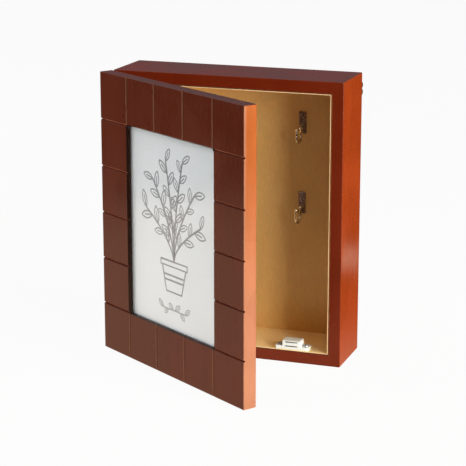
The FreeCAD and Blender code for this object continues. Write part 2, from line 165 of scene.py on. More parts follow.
class Shade(Tree):                    # the tree of a new material, or of the world
    def __init__(self, name, owner=None):
        self.owner = owner or bpy.data.materials.new(name)
        self.owner.use_nodes = True
        self.tree = self.owner.node_tree
        self.tree.nodes.clear()

    def place(self, turn=0.0):        # a point of the piece, in metres
        spot = self.node("ShaderNodeTexCoord", output="Object")
        return self.node("ShaderNodeMapping", None, {0: spot, 2: (0, 0, turn)})

    def shutPlace(self):              # a point of the door, brought back to where it is when shut
        spot = self.node("ShaderNodeTexCoord", output="Object")
        middle = self.node("ShaderNodeMapping", None, {0: spot, 1: -pin})
        return self.node("ShaderNodeMapping", None, {0: middle, 1: pin, 2: (0, 0, doorTurn)})

    def facing(self, turn=0.0):       # the surface's own direction, as x, y and z
        normal = self.node("ShaderNodeTexCoord", output="Normal")
        values = {0: normal, 2: (0, 0, turn)}
        return self.split(self.node("ShaderNodeMapping", {"vector_type": "VECTOR"}, values))

    def split(self, vector):
        return [self.node("ShaderNodeSeparateXYZ", None, {0: vector}, axis) for axis in range(3)]

    def noise(self, vector, scale, detail=3.0, roughness=0.5, stretch=None):
        if stretch:
            vector = self.node("ShaderNodeMapping", None, {0: vector, 3: stretch})
        values = {"Vector": vector, "Scale": scale, "Detail": detail, "Roughness": roughness}
        return self.node("ShaderNodeTexNoise", None, values)

    def mix(self, factor, first, second, blend="MIX"):
        settings = {"data_type": "RGBA", "blend_type": blend}
        return self.node("ShaderNodeMix", settings, {0: factor, 6: first, 7: second}, 2)

    def bump(self, height, distance, strength=1.0):
        values = {"Height": height, "Distance": distance, "Strength": strength}
        return self.node("ShaderNodeBump", None, values)

    def surface(self, **values):      # ends the tree in one Principled shader
        sockets = {key.replace("_", " "): value for key, value in values.items()}
        return self.close(self.node("ShaderNodeBsdfPrincipled", None, sockets))

    def close(self, shader):
        self.node("ShaderNodeOutputMaterial", None, {0: shader})
        return self.owner


class Growth(Tree):                   # one Geometry Nodes tree with named inputs
    def __init__(self, name, inputs):
        self.tree = bpy.data.node_groups.new(name, "GeometryNodeTree")
        sockets = self.tree.interface
        sockets.new_socket("Geometry", in_out="OUTPUT", socket_type="NodeSocketGeometry")
        sockets.new_socket("Geometry", in_out="INPUT", socket_type="NodeSocketGeometry")
        self.names = {}
        for label, kind in {**inputs, "Material": "Material"}.items():
            socket = sockets.new_socket(label, in_out="INPUT", socket_type="NodeSocket" + kind)
            self.names[label] = socket.identifier
        self.source = self.tree.nodes.new("NodeGroupInput")

    def __getitem__(self, label):
        return Wire(self, self.source.outputs[label])

    def vector(self, x=0.0, y=0.0, z=0.0):
        return self.node("ShaderNodeCombineXYZ", None, {0: x, 1: y, 2: z})

    def moved(self, shape, offset):
        return self.node("GeometryNodeTransform", None, {"Geometry": shape, "Translation": offset})

    def joined(self, *shapes):
        return self.node("GeometryNodeJoinGeometry", None, {0: list(shapes)})

    def end(self, shape):
        plain = self.node("GeometryNodeRealizeInstances", None, {0: shape})
        values = {"Geometry": plain, "Material": self["Material"]}
        painted = self.node("GeometryNodeSetMaterial", None, values)
        self.node("NodeGroupOutput", None, {0: painted})
        return self

    def grow(self, name, seed, values):   # the plain mesh that the tree makes of a seed mesh
        holder = bpy.data.objects.new(name, seed)
        scene.collection.objects.link(holder)
        modifier = holder.modifiers.new(name, "NODES")
        modifier.node_group = self.tree
        for label, value in values.items():
            modifier[self.names[label]] = value
        evaluated = holder.evaluated_get(bpy.context.evaluated_depsgraph_get())
        mesh = bpy.data.meshes.new_from_object(evaluated)
        bpy.data.objects.remove(holder)
        return mesh


def colour(red, green, blue):         # from screen values of 0 to 255
    def linear(value):                # the sRGB curve
        share = value / 255
        return share / 12.92 if share <= 0.04045 else ((share + 0.055) / 1.055) ** 2.4
    return (linear(red), linear(green), linear(blue), 1)


# Shapes taken over from the frame

mergeWithin = 0.01 * millimetre
doorBodies = {"door", "turn_button_1", "turn_button_2", "turn_button_3", "turn_button_4"}
hinge = next(joint for joint in frame["joints"] if joint["name"] == "door_hinge")
pin = Vector(hinge["pos_m"])
shutToOpen = Matrix.Translation(pin) @ Matrix.Rotation(-doorTurn, 4, "Z") @ Matrix.Translation(-pin)
openToShut = shutToOpen.inverted()


def bodyOf(node):
    return nodes[node]["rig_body"]


def merged(node):                     # a node's triangles as one joined mesh, the door's turned shut
    shape = bmesh.new()
    shape.from_mesh(nodes[node].data)
    bmesh.ops.remove_doubles(shape, verts=shape.verts, dist=mergeWithin)
    if bodyOf(node) in doorBodies:
        shape.transform(openToShut)
    return shape


def islands(shape):                   # the points of each solid
    left = set(shape.verts)
    while left:
        group, edge = set(), [left.pop()]
        while edge:
            point = edge.pop()
            group.add(point)
            near = [e.other_vert(point) for e in point.link_edges]
            edge += [p for p in near if p in left]
            left.difference_update(near)
        yield [p.co.copy() for p in group]


def boxOf(points):
    low = Vector(min(p[axis] for p in points) for axis in range(3))
    high = Vector(max(p[axis] for p in points) for axis in range(3))
    return low, high


def shutBox(node):
    shape = merged(node)
    low, high = boxOf([p.co for p in shape.verts])
    shape.free()
    return low, high


def addPiece(name, mesh, body, slot, material, replaced=()):   # the door's pieces come shut
    if body in doorBodies:
        mesh.transform(shutToOpen)
    piece = bpy.data.objects.new(name, mesh)
    scene.collection.objects.link(piece)
    mesh.materials.clear()
    mesh.materials.append(material)
    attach(piece, body)
    if replaced:
        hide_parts(*replaced)


def starting(*beginnings):            # the nodes whose names start so
    return [name for name in nodes if name.startswith(beginnings)]


def dress(material, *names):          # gives nodes of the frame their finish
    for name in names:
        data = nodes[name].data
        data.materials.clear()
        data.materials.append(material)


# Finishes

doorStainAndPaintedLight = {                             # the door's tones, by the way a face looks: one stain, partly its own and partly painted light and shade
    "front": colour(92, 35, 17),
    "edge": colour(142, 73, 29),
    "top": colour(94, 15, 10),
    "arris": colour(146, 98, 74),     # a painted highlight along the edges just behind the front, and painted light low on the door's edge
    "groove": colour(118, 62, 42),    # painted light on the sides of the upright grooves
    "under": colour(214, 132, 98),    # painted light on the level ones' sides facing down, and painted shade on those facing up
    "ledge": colour(76, 28, 15),
    "back": colour(96, 38, 18),
    "inside": colour(34, 15, 11),     # painted shade on the walls of the window, and just beside them
    "roughness": 0.27,
}
boardStainAndPaintedLight = {                        # and those of the cabinet's boards, by facing: one stain, partly its own and partly painted light and shade
    "front": colour(92, 28, 9),
    "edge": colour(130, 49, 15),
    "top": colour(122, 20, 12),
    "back": colour(110, 44, 16),
    "roughness": 0.25,
}
grain = {                             # noise scales per metre, and how much they shrink along the grain
    "streaks": 420, "figure": 90, "pores": 2400, "clouds": 16, "orangePeel": 260,
    "poreRange": (0.56, 0.68), "cloudRange": (0.3, 0.7),
    "stretch": 0.045, "relief": 0.02 * millimetre,
}
squareOn = (0.88, 0.97)               # how squarely a face looks sideways or up to take that tone
leaning = (0.3, 0.5)                  # and how much it has to lean that way to count at all
alongAxis = (0.85, 0.95)              # above this a face isn't the slanted side of a groove
lacquer = {"specular": 0.3, "tint": (1.0, 0.82, 0.66, 1)}
paintedEdgeLight = {                              # where the door's edges get painted light
    "reach": 3 * millimetre,          # this far behind its front, all the way up
    "low": 0.05, "high": 0.23,        # and painted light lower down all over the edge, fading between these heights
    "most": 0.85,
}
grooves = {"from": 0.5 * millimetre, "to": 0.7 * millimetre}   # how deep the grooves' painted light and shade starts
windowTiles = {
    "columns": 3, "rows": 4,          # what the window takes the place of
    "ofColumns": 5,                   # the door's own columns
    "sideMargin": 1.5 * millimetre, "endMargin": 0.9 * millimetre,   # how far the walls' painted shade reaches beyond the window's outline
}


def insideWindow(shade, place):       # 1 within the window's outline, seen from the front, where its walls get painted shade
    low, high = shutBox("door_frame")
    tile = (high.x - low.x) / windowTiles["ofColumns"]
    halfWide = windowTiles["columns"] * tile / 2 + windowTiles["sideMargin"]
    halfTall = windowTiles["rows"] * tile / 2 + windowTiles["endMargin"]
    x, y, z = shade.split(place)
    across = abs(x).maths("LESS_THAN", halfWide)
    upright = abs(z - (low.z + high.z) / 2).maths("LESS_THAN", halfTall)
    return across * upright


def doorTone(shade, place, facing, tone):   # adds painted highlights on the arrises and low on the edge, painted light and shade in the grooves, and painted shade on the window's walls
    x, y, z = facing
    deep = shade.split(place)[1] - shutBox("door_frame")[0].y
    # painted highlight along the arrises, just behind the door's front
    arrisHighlight = abs(x).ramp(*leaning) * deep.ramp(0.0, paintedEdgeLight["reach"], 1.0, 0.0)
    height = shade.split(place)[2]
    # painted light: the door's edge made paler towards the bottom
    low = height.ramp(paintedEdgeLight["low"], paintedEdgeLight["high"], paintedEdgeLight["most"], 0.0) * abs(x).ramp(0.6, 0.9)
    tone = shade.mix(arrisHighlight.atLeast(low), tone, doorStainAndPaintedLight["arris"])
    slanted = abs(x).atLeast(abs(y)).atLeast(abs(z)).ramp(*alongAxis, 1.0, 0.0)
    sunk = deep.ramp(grooves["from"], grooves["to"])
    # painted light and shade in the grooves: sides facing down lighter, facing up darker, upright sides
    # lighter than the front
    flank = shade.mix((z * -1).ramp(*leaning), doorStainAndPaintedLight["groove"], doorStainAndPaintedLight["under"])
    flank = shade.mix(z.ramp(*leaning), flank, doorStainAndPaintedLight["ledge"])
    tone = shade.mix(slanted * sunk, tone, flank)
    # painted shade on the window's walls, reaching a little past them as a dark line
    return shade.mix(insideWindow(shade, place), tone, doorStainAndPaintedLight["inside"])


def stainedWood(name, tones, shut=False, along="z"):
    shade = Shade(name)
    place = shade.shutPlace() if shut else shade.place()
    turn = doorTurn if shut else 0.0
    share = grain["stretch"]
    stretch = {"z": (1, 1, share), "x": (share, 1, 1)}[along]
    streaks = shade.noise(place, grain["streaks"], 5, 0.62, stretch)
    figure = shade.noise(place, grain["figure"], 3, 0.5, stretch)
    pores = shade.noise(place, grain["pores"], 2, 0.5, stretch).ramp(*grain["poreRange"])
    clouds = shade.noise(place, grain["clouds"], 3).ramp(*grain["cloudRange"])
    x, y, z = shade.facing(turn)
    # tones by the way a face looks: partly the stain's own, partly painted light and shade
    tone = shade.mix((y * -1).ramp(0.3, 0.7), tones["back"], tones["front"])
    tone = shade.mix(abs(x).ramp(*squareOn), tone, tones["edge"])
    tone = shade.mix(z.ramp(*squareOn), tone, tones["top"])
    if shut:
        tone = doorTone(shade, place, (x, y, z), tone)
    depth = 0.74 + 0.2 * streaks + 0.2 * figure + 0.2 * clouds - 0.12 * pores
    tone = shade.mix(1.0, tone, depth, "MULTIPLY")
    orangePeel = shade.noise(place, grain["orangePeel"], 2)
    height = streaks * 0.3 - pores * 0.6 + orangePeel * 0.5
    return shade.surface(
        Base_Color=tone,
        Roughness=tones["roughness"] + 0.14 * clouds + 0.1 * pores - 0.08,
        Normal=shade.bump(height, grain["relief"], 0.3),
        Specular_IOR_Level=lacquer["specular"],
        Specular_Tint=lacquer["tint"],
    )


goldPaint = {
    "light": colour(226, 184, 116),
    "dark": colour(212, 168, 96),
    # painted light: the lining's floor made lighter than its walls
    "floor": colour(255, 232, 172),
    "cut": colour(240, 202, 150),     # the sheets' bare front edges, and a painted shadow line in the gap beside them
    "glue": colour(44, 20, 10),
    "cutWidth": 0.65 * millimetre,
    "cutDepth": (0.5 * millimetre, 2 * millimetre),   # behind the front plane, where they fade out
    "grit": 2400, "weave": 700, "clouds": 26,
    "relief": 0.02 * millimetre, "metallic": 0.3, "roughness": 0.42,
}


def goldBoard():
    shade = Shade("goldBoard")
    place = shade.place()
    grit = shade.noise(place, goldPaint["grit"], 2)
    weave = shade.noise(place, goldPaint["weave"], 3, 0.6, (1, 1, 0.3))
    clouds = shade.noise(place, goldPaint["clouds"], 3)
    x, y, z = shade.facing()
    tone = shade.mix(clouds, goldPaint["dark"], goldPaint["light"])
    # painted light on the lining's faces that look up
    tone = shade.mix(z.ramp(0.8, 0.95), tone, goldPaint["floor"])
    # painted shadow line between the lining and the boards, past the sheets' cut edges
    inGapShadow = pastOpening(shade, place).maths("GREATER_THAN", goldPaint["cutWidth"])
    cut = shade.mix(inGapShadow, goldPaint["cut"], goldPaint["glue"])
    tone = shade.mix((y * -1).ramp(0.5, 0.9) * onFrontPlane(shade, place), tone, cut)
    tone = shade.mix(1.0, tone, 0.82 + 0.28 * weave, "MULTIPLY")
    return shade.surface(
        Base_Color=tone,
        Metallic=goldPaint["metallic"],
        Roughness=goldPaint["roughness"] + 0.16 * grit,
        Normal=shade.bump(grit + weave, goldPaint["relief"], 0.6),
    )


def pastOpening(shade, place):        # how far outside the lined opening's outline, seen from the front
    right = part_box("lining_right")[0].x
    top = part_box("lining_top")[0].z
    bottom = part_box("lining_bottom")[1].z
    x, y, z = shade.split(place)
    upright = abs(z - (top + bottom) / 2) - (top - bottom) / 2
    return (abs(x) - right).atLeast(upright)


def onFrontPlane(shade, place):       # 1 near the cabinet's open front, 0 further in
    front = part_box("lining_right")[0].y
    near, far = goldPaint["cutDepth"]
    return shade.split(place)[1].ramp(front + near, front + far, 1.0, 0.0)


fibres = {
    "back": {                         # its rough side shows, with the print of the maker's screen
        "light": colour(150, 112, 74), "dark": colour(112, 80, 50), "screen": 4200, "turn": 0.0,
    },
    "door": {
        "light": colour(132, 98, 66), "dark": colour(100, 72, 46), "screen": None, "turn": doorTurn,
    },
}


def fibreBoard(name, plan):
    shade = Shade(name)
    place = shade.place(plan["turn"])
    threads = shade.noise(place, 900, 4, 0.7)
    clouds = shade.noise(place, 40, 2)
    tone = shade.mix(threads * 0.7 + clouds * 0.3, plan["dark"], plan["light"])
    relief = threads
    if plan["screen"]:
        x, y, z = shade.split(place)
        mesh = (x * plan["screen"]).maths("SINE") * (z * plan["screen"]).maths("SINE")
        relief = threads + 0.8 * mesh
        tone = shade.mix(1.0, tone, 0.9 + 0.1 * mesh, "MULTIPLY")
    return shade.surface(
        Base_Color=tone,
        Roughness=0.75 + 0.15 * threads,
        Normal=shade.bump(relief, 0.08 * millimetre),
    )


evenMetal = {"mottle": 60.0, "spread": (0.4, 0.62), "relief": 0.01 * millimetre}
metals = {
    "plateBronze": {
        "light": colour(196, 184, 182), "dark": colour(84, 70, 66), "roughness": 0.5,
        "mottle": 140.0, "spread": (0.38, 0.64), "relief": 0.04 * millimetre,
    },
    "wireBronze": {
        **evenMetal, "light": colour(238, 236, 216), "dark": colour(184, 176, 148),
        "roughness": 0.2, "mottle": 20.0, "relief": 0.003 * millimetre,
    },
    "hingeBrass": {
        **evenMetal, "light": colour(214, 172, 88), "dark": colour(188, 140, 64),
        "roughness": 0.24,
    },
    "zincSteel": {
        **evenMetal, "light": colour(206, 208, 210), "dark": colour(176, 179, 182),
        "roughness": 0.26,
    },
    # steel made darker than it is, as painted shade for the slots the poles sit in
    "poleSteel": {
        **evenMetal, "light": colour(124, 130, 124), "dark": colour(84, 90, 86),
        "roughness": 0.3,
    },
    "bronzedSteel": {
        **evenMetal, "light": colour(150, 96, 78), "dark": colour(112, 66, 52),
        "roughness": 0.42,
    },
}


def metal(name):
    plan = metals[name]
    shade = Shade(name)
    place = shade.place()
    patches = shade.noise(place, plan["mottle"] * 6, 4, 0.65).ramp(*plan["spread"])
    fine = shade.noise(place, plan["mottle"] * 60, 2)
    return shade.surface(
        Base_Color=shade.mix(patches, plan["dark"], plan["light"]),
        Metallic=1.0,
        Roughness=plan["roughness"] + 0.2 * (1 - patches) * fine,
        Normal=shade.bump(patches + fine * 0.4, plan["relief"]),
    )


catchWhite = {
    "dark": colour(202, 206, 200), "light": colour(216, 219, 213),
    "roughness": 0.32, "relief": 0.012 * millimetre,
}


def whitePlastic():
    shade = Shade("whitePlastic")
    place = shade.place()
    fine = shade.noise(place, 3000, 2)
    clouds = shade.noise(place, 90, 2)
    return shade.surface(
        Base_Color=shade.mix(clouds, catchWhite["dark"], catchWhite["light"]),
        Roughness=catchWhite["roughness"] + 0.12 * fine,
        Normal=shade.bump(fine, catchWhite["relief"], 0.5),
    )


cardWhite = {
    "dark": colour(219, 222, 226), "light": colour(227, 230, 234),
    "roughness": 0.7, "relief": 0.004 * millimetre,
}


def cardPaper():
    shade = Shade("cardPaper")
    place = shade.place(doorTurn)
    threads = shade.noise(place, 1600, 4, 0.7)
    clouds = shade.noise(place, 20, 2)
    mottled = threads * 0.6 + clouds * 0.4
    return shade.surface(
        Base_Color=shade.mix(mottled, cardWhite["dark"], cardWhite["light"]),
        Roughness=cardWhite["roughness"] + 0.1 * threads,
        Normal=shade.bump(threads, cardWhite["relief"]),
    )


inkGrey = {"dark": colour(122, 125, 130), "light": colour(166, 169, 174), "roughness": 0.6}


def printInk():
    shade = Shade("printInk")
    place = shade.place(doorTurn)
    speckle = shade.noise(place, 5200, 3, 0.7)
    clouds = shade.noise(place, 260, 2)
    thin = speckle.ramp(0.3, 0.75) * 0.7 + clouds * 0.3
    return shade.surface(
        Base_Color=shade.mix(thin, inkGrey["dark"], inkGrey["light"]),
        Roughness=inkGrey["roughness"] + 0.1 * speckle,
    )


pane = {
    "tint": (0.97, 0.985, 0.98, 1), "shadow": (0.95, 0.96, 0.955, 1),
    "roughness": 0.015, "bend": 1.47, "specular": 0.3, "relief": 0.02 * millimetre,
}


def windowGlass():
    shade = Shade("windowGlass")
    place = shade.place(doorTurn)
    ripple = shade.noise(place, 12, 1)
    values = {
        "Base Color": pane["tint"],
        "Roughness": pane["roughness"],
        "IOR": pane["bend"],
        "Transmission Weight": 1.0,
        "Specular IOR Level": pane["specular"],
        "Normal": shade.bump(ripple, pane["relief"], 0.2),
    }
    glass = shade.node("ShaderNodeBsdfPrincipled", None, values)
    clear = shade.node("ShaderNodeBsdfTransparent", None, {"Color": pane["shadow"]})
    shadow = shade.node("ShaderNodeLightPath", output="Is Shadow Ray")
    return shade.close(shade.node("ShaderNodeMixShader", None, {0: shadow, 1: glass, 2: clear}))


ferrite = {
    "dark": colour(30, 30, 32), "light": colour(58, 58, 60),
    "metallic": 0.4, "roughness": 0.6, "relief": 0.03 * millimetre,
}


def magnetStone():
    shade = Shade("magnetStone")
    place = shade.place()
    grit = shade.noise(place, 2600, 4, 0.7)
    return shade.surface(
        Base_Color=shade.mix(grit, ferrite["dark"], ferrite["light"]),
        Metallic=ferrite["metallic"],
        Roughness=ferrite["roughness"] + 0.1 * grit,
        Normal=shade.bump(grit, ferrite["relief"]),
    )


doorWood = stainedWood("doorWood", doorStainAndPaintedLight, shut=True)
sideWood = stainedWood("sideWood", boardStainAndPaintedLight)
railWood = stainedWood("railWood", boardStainAndPaintedLight, along="x")
gold = goldBoard()
backFibre = fibreBoard("backFibre", fibres["back"])
doorFibre = fibreBoard("doorFibre", fibres["door"])
plateBronze = metal("plateBronze")
wireBronze = metal("wireBronze")
brass = metal("hingeBrass")
zinc = metal("zincSteel")
poleSteel = metal("poleSteel")
darkSteel = metal("bronzedSteel")
plastic = whitePlastic()
paper = cardPaper()
ink = printInk()
paneGlass = windowGlass()
magnetBlack = magnetStone()

dress(gold, *starting("lining_"))
dress(backFibre, "back_panel")
dress(doorFibre, "backing_board")
dress(plateBronze, *starting("hook_plate_"))
dress(wireBronze, *starting("key_hook_"))
dress(brass, *starting("cabinet_leaf_", "door_leaf_", "hinge_pin_"))
dress(zinc, *starting("strike_plate", "turn_button_"))
dress(poleSteel, *starting("catch_pole_"))
dress(darkSteel, *starting("hanger_plate_"))
dress(plastic, "catch_housing")
dress(magnetBlack, "catch_magnet")
dress(paneGlass, "glass_pane")
print("finishes made")


# The door's frame and the boards, with their arrises softened

softening = {
    "door": 0.5 * millimetre,
    "boards": 0.4 * millimetre,
    "segments": 2,
    "sharpest": math.radians(20),     # edges that bend more than this are arrises
    "flattest": math.radians(0.6),    # and faces that bend less are one
    "depth": 4.5 * millimetre,        # how far behind the door's front the softening reaches
    "atPlane": 0.02 * millimetre,     # how near an edge lies to an outer plane
}
boardFinish = {
    "side_left": sideWood, "side_right": sideWood,
    "top_board": railWood, "bottom_board": railWood,
}


def renamed(node, ending):            # side_left becomes sideLeftSoft
    first, *rest = node.split("_")
    return first + "".join(word.capitalize() for word in rest) + ending


def softened(name, node, width, wanted):   # a node's solid with the wanted arrises rounded off
    shape = merged(node)
    flattest = softening["flattest"]
    bmesh.ops.dissolve_limit(shape, angle_limit=flattest, verts=shape.verts, edges=shape.edges)
    arrises = []
    for edge in shape.edges:
        if edge.is_convex and edge.calc_face_angle() > softening["sharpest"] and wanted(edge):
            arrises.append(edge)
    bmesh.ops.bevel(
        shape, geom=arrises, offset=width, offset_type="OFFSET",
        segments=softening["segments"], profile=0.5, affect="EDGES", clamp_overlap=True,
    )
    mesh = bpy.data.meshes.new(name)
    shape.to_mesh(mesh)
    shape.free()
    mesh.attributes.remove(mesh.attributes["custom_normal"])   # the solid's own no longer fit
    mesh.shade_flat()
    return mesh


def softenDoor():
    reach = shutBox("door_frame")[0].y + softening["depth"]

    def nearFront(edge):
        return (edge.verts[0].co.y + edge.verts[1].co.y) / 2 < reach

    mesh = softened("doorFrameSoft", "door_frame", softening["door"], nearFront)
    addPiece("doorFrameSoft", mesh, "door", "door_stain", doorWood, ["door_frame"])


def softenBoards():
    boxes = [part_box(node) for node in boardFinish]
    low, high = boxOf([corner for box in boxes for corner in box])

    def atEnd(edge, axis):            # the whole edge lies in one of the cabinet's outer planes
        first, second = (point.co[axis] for point in edge.verts)
        ends = (low[axis], high[axis])
        return any(abs(first - end) + abs(second - end) < softening["atPlane"] for end in ends)

    def onRim(edge):
        return atEnd(edge, 1) and (atEnd(edge, 0) or atEnd(edge, 2))

    for node, material in boardFinish.items():
        name = renamed(node, "Soft")
        mesh = softened(name, node, softening["boards"], onRim)
        addPiece(name, mesh, "cabinet", "board_stain", material, [node])


softenDoor()
softenBoards()
print("door and boards softened")


# Screws and pins

cross = {"reach": 0.6, "width": 0.5, "depth": 0.5}   # the driver's recess; reach is a share of the radius
panHead = {"crown": 0.62, "sink": 0.0}
flatHead = {"crown": 1.0, "sink": 0.8, "headHeight": 0.0}
screws = {                            # the groups of the frame, with sizes in millimetres
    "hook_pins": {
        **panHead, "faces": (0, -1, 0),
        "headRadius": 1.2, "headHeight": 0.8, "shank": 0.6, "length": 4.2,
        "name": "hookPinsDriven", "slot": "hook_bronze", "finish": plateBronze,
    },
    "catch_screws": {
        **panHead, "faces": (0, 0, 1),
        "headRadius": 2.2, "headHeight": 1.3, "shank": 1.1, "length": 9.0,
        "name": "catchScrewsDriven", "slot": "bright_steel", "finish": zinc,
    },
    "strike_screws": {
        **flatHead, "faces": (0, 1, 0),
        "headRadius": 2.0, "sink": 1.0, "shank": 1.0, "length": 7.0,
        "name": "strikeScrewsDriven", "slot": "bright_steel", "finish": zinc,
    },
    "hanger_screws": {
        **panHead, "faces": (0, 1, 0),
        "headRadius": 2.4, "headHeight": 1.0, "shank": 1.2, "length": 11.0,
        "name": "hangerScrewsDriven", "slot": "hanger_steel", "finish": darkSteel,
    },
    "turn_button_screws": {
        **panHead, "faces": (0, 1, 0),
        "headRadius": 2.4, "headHeight": 1.4, "shank": 1.2, "length": 6.0,
        "name": "buttonScrewsDriven", "slot": "button_steel", "finish": zinc,
    },
    "cabinet_hinge_screws": {
        **flatHead, "faces": (0, -1, 0),
        "headRadius": 1.8, "shank": 1.0, "length": 7.0,
        "name": "cabinetHingeScrewsDriven", "slot": "hinge_brass", "finish": brass,
    },
    "door_hinge_screws": {
        **flatHead, "faces": (0, 1, 0),
        "headRadius": 1.8, "shank": 1.0, "length": 7.0,
        "name": "doorHingeScrewsDriven", "slot": "hinge_brass", "finish": brass,
    },
}
thread = {                            # core and ridge are shares of the shank's radius
    "core": 0.8, "ridge": 0.16, "pitch": 0.9,
    "tip": 2.0, "blunt": 0.05,        # the point's length in radii, and how blunt its end is
    "seed": 4,
}
fineness = {"headSides": 32, "headRings": 20, "rodSides": 16, "threadSteps": 12, "ridgeSides": 4}


def screwTree():
    inputs = [
        "Head Radius", "Head Height", "Crown", "Sink", "Cross Reach", "Cross Width", "Cross Depth",
        "Shank Radius", "Length", "Pitch", "Ridge",
    ]
    tree = Growth("screwGrowth", {**dict.fromkeys(inputs, "Float"), "Faces": "Vector", "Seed": "Int"})
    ballSizes = {"Segments": fineness["headSides"], "Rings": fineness["headRings"], "Radius": 1.0}
    ball = tree.node("GeometryNodeMeshUVSphere", None, ballSizes)
    spot = tree.node("GeometryNodeInputPosition")
    x, y, z = [tree.node("ShaderNodeSeparateXYZ", None, {0: spot}, axis) for axis in range(3)]
    out = (x * x + y * y) ** 0.5
    dome = z.atLeast(0.0) ** tree["Crown"] * tree["Head Height"]
    under = (1 - out) * tree["Sink"] * z.maths("LESS_THAN", 0.0)
    shaped = tree.vector(x * tree["Head Radius"], y * tree["Head Radius"], dome - under)
    head = tree.node("GeometryNodeSetPosition", None, {"Geometry": ball, "Position": shaped})
    deep = tree["Cross Depth"] * 2
    long = tree["Cross Reach"] * tree["Head Radius"] * 2
    bars = []
    for wide, tall in ((long, tree["Cross Width"]), (tree["Cross Width"], long)):
        bar = tree.node("GeometryNodeMeshCube", None, {"Size": tree.vector(wide, tall, deep)})
        bars.append(tree.moved(bar, tree.vector(0.0, 0.0, tree["Head Height"])))
    cut = tree.node("GeometryNodeMeshBoolean", {"operation": "DIFFERENCE"}, {0: head, 1: bars})
    core = tree["Shank Radius"] * thread["core"]
    point = tree["Shank Radius"] * thread["tip"]
    below = (tree["Head Height"] - tree["Cross Depth"]).atMost(0.0)   # under the driver's recess
    straight = tree["Length"] - point + below
    rodSizes = {"Vertices": fineness["rodSides"], "Radius": core, "Depth": straight}
    rod = tree.node("GeometryNodeMeshCylinder", None, rodSizes)
    rod = tree.moved(rod, tree.vector(0.0, 0.0, below - straight * 0.5))
    blunt = core * thread["blunt"]
    tipSizes = {"Radius Top": core, "Radius Bottom": blunt, "Depth": point}
    tip = tree.node("GeometryNodeMeshCone", None, {"Vertices": fineness["rodSides"], **tipSizes})
    tip = tree.moved(tip, tree.vector(0.0, 0.0, tree["Length"] * -1))
    turns = {
        "Resolution": fineness["threadSteps"], "Rotations": straight / tree["Pitch"],
        "Start Radius": core, "End Radius": core, "Height": straight * -1,
    }
    helix = tree.node("GeometryNodeCurveSpiral", None, turns)
    profile = {"Resolution": fineness["ridgeSides"], "Radius": tree["Ridge"]}
    ridge = tree.node("GeometryNodeCurvePrimitiveCircle", None, profile)
    swept = {"Curve": helix, "Profile Curve": ridge, "Fill Caps": True}
    ridges = tree.node("GeometryNodeCurveToMesh", None, swept)
    ridges = tree.moved(ridges, tree.vector(0.0, 0.0, below - tree["Ridge"]))
    screw = tree.joined(cut, rod, tip, ridges)
    faces = {"Vector": tree["Faces"]}
    upright = tree.node("FunctionNodeAlignRotationToVector", {"axis": "Z"}, faces)
    halfTurn = {2: 0.0, 3: math.pi, "Seed": tree["Seed"]}
    spin = tree.node("FunctionNodeRandomValue", {"data_type": "FLOAT"}, halfTurn, 1)
    own = tree.node("FunctionNodeEulerToRotation", None, {0: tree.vector(0.0, 0.0, spin)})
    turned = tree.node("FunctionNodeRotateRotation", {"rotation_space": "LOCAL"}, {0: upright, 1: own})
    places = {"Points": tree["Geometry"], "Instance": screw, "Rotation": turned}
    return tree.end(tree.node("GeometryNodeInstanceOnPoints", None, places))


def seatsOf(node, plan):              # where each head of a group sits, and which way is up there
    shape = merged(node)
    faces = Vector(plan["faces"])
    seats = []
    for points in islands(shape):
        low, high = boxOf(points)
        seat = (low + high) / 2
        axis = max(range(3), key=lambda i: abs(faces[i]))
        top = high[axis] if faces[axis] > 0 else low[axis]
        seat[axis] = top - faces[axis] * plan["headHeight"] * millimetre
        seats.append(seat)
    shape.free()
    return sorted(seats, key=lambda seat: tuple(round(value, 5) for value in seat))


def addScrews(tree, node, plan):
    name = plan["name"]
    seeds = bpy.data.meshes.new(name)
    seeds.from_pydata(seatsOf(node, plan), [], [])
    values = {
        "Head Radius": plan["headRadius"] * millimetre,
        "Head Height": plan["headHeight"] * millimetre,
        "Crown": plan["crown"],
        "Sink": plan["sink"] * millimetre,
        "Cross Reach": cross["reach"],
        "Cross Width": cross["width"] * millimetre,
        "Cross Depth": cross["depth"] * millimetre,
        "Shank Radius": plan["shank"] * millimetre,
        "Length": plan["length"] * millimetre,
        "Pitch": thread["pitch"] * millimetre,
        "Ridge": thread["ridge"] * plan["shank"] * millimetre,
        "Faces": plan["faces"],
        "Seed": thread["seed"],
        "Material": plan["finish"],
    }
    mesh = tree.grow(name, seeds, values)
    addPiece(name, mesh, bodyOf(node), plan["slot"], plan["finish"], [node])


fasteners = screwTree()
for group, plan in screws.items():
    addScrews(fasteners, group, plan)
print("screws driven")


# The card and its print

card = {
    "gap": 0.06 * millimetre,         # to the glass
    "thickness": 0.28 * millimetre,
    "corner": 1.0 * millimetre, "cornerSteps": 4,
}


def cardSheet():
    low, high = shutBox("picture_card")
    front = low.y + card["gap"]
    shape = bmesh.new()
    size = (high.x - low.x, card["thickness"], high.z - low.z)
    middle = ((low.x + high.x) / 2, front + card["thickness"] / 2, (low.z + high.z) / 2)
    block = Matrix.Translation(middle) @ Matrix.Diagonal((*size, 1))
    bmesh.ops.create_cube(shape, size=1.0, matrix=block)
    corners = []
    for edge in shape.edges:          # those that run from front to back
        if abs((edge.verts[0].co - edge.verts[1].co).y) > mergeWithin:
            corners.append(edge)
    bmesh.ops.bevel(
        shape, geom=corners, offset=card["corner"],
        segments=card["cornerSteps"], profile=0.5, affect="EDGES",
    )
    mesh = bpy.data.meshes.new("cardSheet")
    shape.to_mesh(mesh)
    shape.free()
    return mesh


